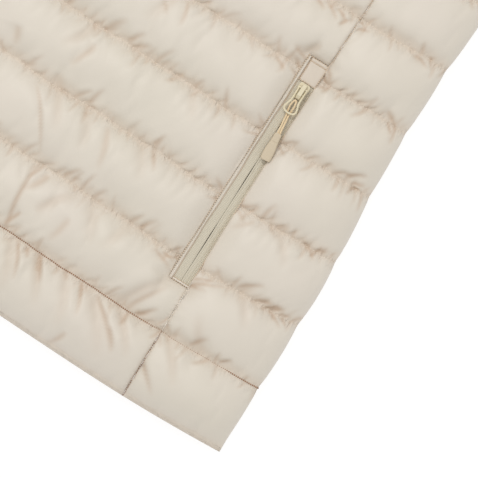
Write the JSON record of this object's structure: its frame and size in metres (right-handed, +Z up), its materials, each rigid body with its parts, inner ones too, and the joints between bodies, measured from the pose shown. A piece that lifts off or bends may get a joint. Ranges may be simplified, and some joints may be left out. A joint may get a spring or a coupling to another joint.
{
  "type": "gilet",
  "caption": "Channel-quilted padded gilet with stand collar, full-length zip and zipped pockets in its side-panel seams, laid flat on its back.",
  "frame": {"origin": "middle of the garment's bounding box, on the surface that it lies on", "axes": "+X across the garment to the wearer's left, +Y from the hem to the collar, +Z up from the surface, out of the front"},
  "size_m": [0.584, 0.7602, 0.0288],
  "materials": {
    "shell_fabric": "fine smooth nylon, soft satin sheen, beige",
    "zip_tape": "close-woven polyester tape, matt",
    "zip_coil": "dyed nylon coil",
    "slider_enamel": "cream enamel on die-cast zinc",
    "pull_cord": "round braided cord, pale straw",
    "pull_grip": "moulded soft plastic, matt"
  },
  "bodies": {
    "garment": {"front_left": "shell_fabric", "front_right": "shell_fabric", "side_left": "shell_fabric", "side_right": "shell_fabric", "back": "shell_fabric", "collar": "shell_fabric", "front_zip_tape_left": "zip_tape", "front_zip_tape_right": "zip_tape", "front_zip_coil": "zip_coil", "front_zip_slider": "slider_enamel", "pocket_left_tape_inner": "zip_tape", "pocket_left_tape_outer": "zip_tape", "pocket_left_coil": "zip_coil", "pocket_left_welt": "shell_fabric", "pocket_left_bar": "shell_fabric", "pocket_left_patch": "shell_fabric", "pocket_left_slider": "slider_enamel", "pocket_right_tape_inner": "zip_tape", "pocket_right_tape_outer": "zip_tape", "pocket_right_coil": "zip_coil", "pocket_right_welt": "shell_fabric", "pocket_right_bar": "shell_fabric", "pocket_right_patch": "shell_fabric", "pocket_right_slider": "slider_enamel"},
    "front_pull": {"front_zip_bail": "slider_enamel", "front_zip_cord": "pull_cord", "front_zip_grip": "pull_grip"},
    "pocket_left_pull": {"pocket_left_bail": "slider_enamel", "pocket_left_cord": "pull_cord", "pocket_left_grip": "pull_grip"},
    "pocket_right_pull": {"pocket_right_bail": "slider_enamel", "pocket_right_cord": "pull_cord", "pocket_right_grip": "pull_grip"}
  },
  "joints": [
    {"name": "front_pull_hinge", "type": "hinge", "parent": "garment", "child": "front_pull", "pos_m": [0, 0.28885, 0.0216], "axis": [-1, 0, 0], "range_deg": [0, 150]},
    {"name": "pocket_left_pull_hinge", "type": "hinge", "parent": "garment", "child": "pocket_left_pull", "pos_m": [0.2119, -0.14865, 0.0216], "axis": [-1, 0, 0], "range_deg": [0, 150]},
    {"name": "pocket_right_pull_hinge", "type": "hinge", "parent": "garment", "child": "pocket_right_pull", "pos_m": [-0.2119, -0.14865, 0.0216], "axis": [-1, 0, 0], "range_deg": [0, 150]}
  ]
}
